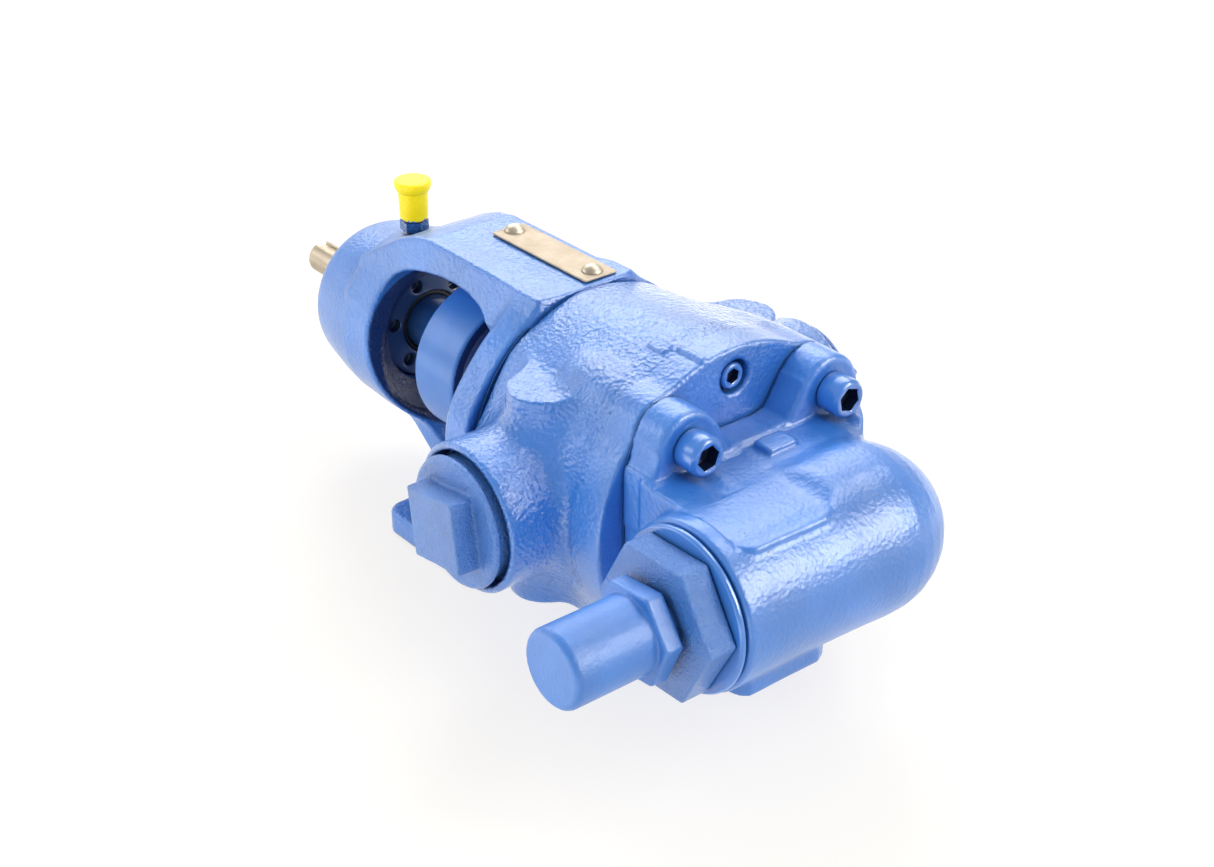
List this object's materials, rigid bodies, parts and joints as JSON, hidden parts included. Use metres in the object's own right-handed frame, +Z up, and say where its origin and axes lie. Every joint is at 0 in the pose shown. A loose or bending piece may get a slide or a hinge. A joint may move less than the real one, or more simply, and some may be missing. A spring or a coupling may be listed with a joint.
{
  "type": "foot-mounted internal gear pump",
  "caption": "Internal gear pump with foot bracket, keyed drive shaft, plugged side ports and a capped adjustable relief valve across the head.",
  "frame": {"origin": "middle of the foot's underside", "axes": "+Y along the drive shaft towards its free end, -X towards the plugged port and the relief valve cap, +Z up"},
  "size_m": [0.2076, 0.3436, 0.1226],
  "materials": {
    "blue_paint": "glossy enamel over cast iron, orange peel",
    "bare_steel": "machined",
    "machined_iron": "machined",
    "bronze": "bearing bronze, machined",
    "seal_carbon": "dull carbon graphite",
    "seal_rubber": "matte",
    "gasket_sheet": "matte fibre sheet",
    "yellow_plastic": "glossy moulded",
    "nameplate_metal": "dull stamped plate"
  },
  "bodies": {
    "pump_housing": {"bracket": "blue_paint", "casing": "blue_paint", "head": "blue_paint", "valve_body": "blue_paint", "valve_bonnet": "blue_paint", "bonnet_gasket": "blue_paint", "port_plug_left": "blue_paint", "port_plug_right": "blue_paint", "seal_housing": "blue_paint", "bearing_inner_cap": "blue_paint", "bearing_outer_cap": "blue_paint", "valve_screw_upper_left": "blue_paint", "valve_screw_upper_right": "blue_paint", "valve_screw_lower_left": "blue_paint", "valve_screw_lower_right": "blue_paint", "head_screw_top": "blue_paint", "head_screw_bottom": "blue_paint", "bracket_screw_1": "blue_paint", "bracket_screw_2": "blue_paint", "bracket_screw_3": "blue_paint", "bracket_screw_4": "blue_paint", "seal_housing_screw_1": "blue_paint", "seal_housing_screw_2": "blue_paint", "seal_housing_screw_3": "blue_paint", "grease_fitting": "blue_paint", "idler_pin": "bare_steel", "adjusting_lock_nut": "bare_steel", "relief_spring": "bare_steel", "bearing_outer_ring": "bare_steel", "nameplate_screw_1": "bare_steel", "nameplate_screw_2": "bare_steel", "bracket_bushing": "bronze", "seal_seat": "seal_carbon", "inner_lip_seal": "seal_rubber", "outer_lip_seal": "seal_rubber", "head_gasket": "gasket_sheet", "bracket_gasket": "gasket_sheet", "valve_gasket": "gasket_sheet", "nameplate": "nameplate_metal"},
    "shaft_and_rotor": {"drive_shaft": "bare_steel", "rotor": "machined_iron", "rotor_key": "bare_steel", "bearing_inner_ring": "bare_steel", "bearing_spacer": "blue_paint", "lock_washer": "bare_steel", "bearing_lock_nut": "bare_steel", "seal_rotating_ring": "bare_steel", "seal_retainer": "bare_steel", "seal_spring": "bare_steel"},
    "idler": {"idler_gear": "machined_iron", "idler_bushing": "seal_carbon"},
    "bearing_cage": {"bearing_balls_and_cage": "bronze"},
    "poppet": {"relief_poppet": "bare_steel"},
    "spring_guide": {"spring_guide": "bare_steel"},
    "adjusting_screw": {"adjusting_screw": "bare_steel"},
    "cap_gasket": {"cap_gasket": "blue_paint"},
    "valve_cap": {"valve_cap": "blue_paint"},
    "grease_cap": {"grease_cap": "yellow_plastic"}
  },
  "joints": [
    {"name": "shaft_spin", "type": "hinge", "parent": "pump_housing", "child": "shaft_and_rotor", "pos_m": [0, 0.0005, 0.063], "axis": [0, 1, 0], "continuous": true},
    {"name": "idler_spin", "type": "hinge", "parent": "pump_housing", "child": "idler", "pos_m": [0, -0.0875, 0.0705], "axis": [0, 1, 0], "continuous": true},
    {"name": "bearing_cage_spin", "type": "hinge", "parent": "pump_housing", "child": "bearing_cage", "pos_m": [0, 0.0747, 0.063], "axis": [0, 1, 0], "continuous": true},
    {"name": "poppet_lift", "type": "slide", "parent": "pump_housing", "child": "poppet", "axis": [-1, 0, 0], "range_m": [0, 0.012], "stiffness_N_per_m": 8000, "springref_m": -0.004, "deforming": ["relief_spring"]},
    {"name": "spring_preload", "type": "slide", "parent": "pump_housing", "child": "spring_guide", "axis": [1, 0, 0], "range_m": [0, 0.008]},
    {"name": "adjusting_screw_turn", "type": "hinge", "parent": "spring_guide", "child": "adjusting_screw", "pos_m": [-0.07, -0.1648, 0.0666], "axis": [1, 0, 0], "range_deg": [0, 1920]},
    {"name": "cap_advance", "type": "slide", "parent": "pump_housing", "child": "cap_gasket", "axis": [-1, 0, 0], "range_m": [0, 0.01]},
    {"name": "valve_cap_unscrew", "type": "hinge", "parent": "cap_gasket", "child": "valve_cap", "pos_m": [-0.095, -0.1648, 0.0666], "axis": [-1, 0, 0], "range_deg": [0, 1800]},
    {"name": "grease_cap_pull", "type": "slide", "parent": "pump_housing", "child": "grease_cap", "axis": [0, 0, 1], "range_m": [0, 0.03]}
  ],
  "couplings": [
    {"joint": "idler_spin", "follows": "shaft_spin", "ratio": 1.3333},
    {"joint": "bearing_cage_spin", "follows": "shaft_spin", "ratio": 0.4123},
    {"joint": "adjusting_screw_turn", "follows": "spring_preload", "rad_per_m": 4188.8},
    {"joint": "valve_cap_unscrew", "follows": "cap_advance", "rad_per_m": 3141.6}
  ]
}
